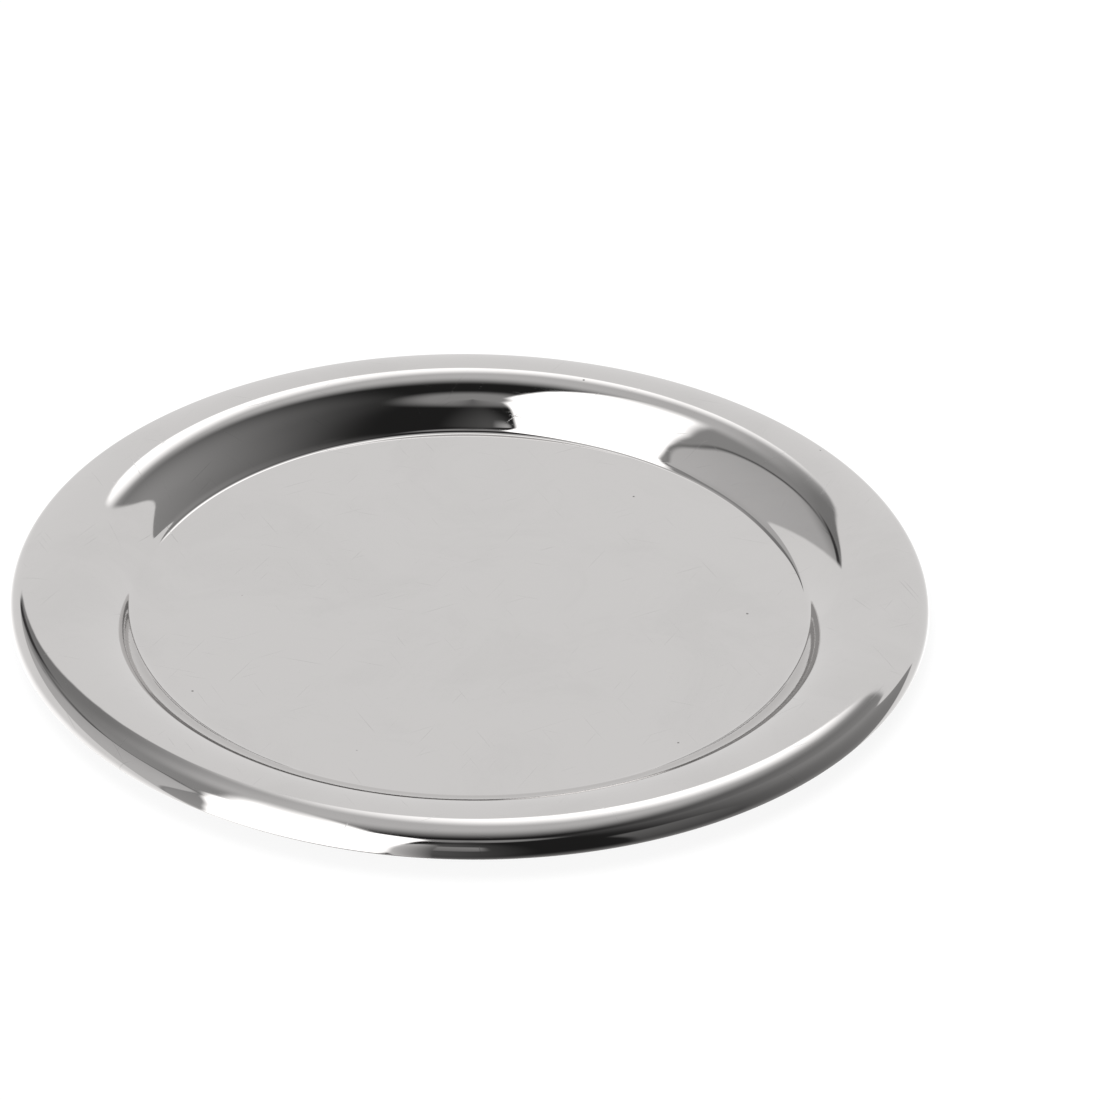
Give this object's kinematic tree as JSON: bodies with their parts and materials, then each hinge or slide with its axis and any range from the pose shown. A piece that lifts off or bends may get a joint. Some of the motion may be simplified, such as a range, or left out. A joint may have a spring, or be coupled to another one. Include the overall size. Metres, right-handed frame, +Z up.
{
  "type": "coin tray",
  "caption": "Round mirror-polished metal tip tray for coins and notes: flat floor, short curved wall and a broad crowned rim with its edge rolled down.",
  "frame": {"origin": "middle of the floor's underside, where the tray rests on the table", "axes": "+Z straight up through the middle of the floor; X and Y lie in the table's plane, and the tray is round about Z"},
  "size_m": [0.14, 0.14, 0.0066],
  "materials": {
    "polished_steel": "mirror polished stainless steel"
  },
  "bodies": {
    "root": {"tray": "polished_steel"}
  },
  "joints": []
}
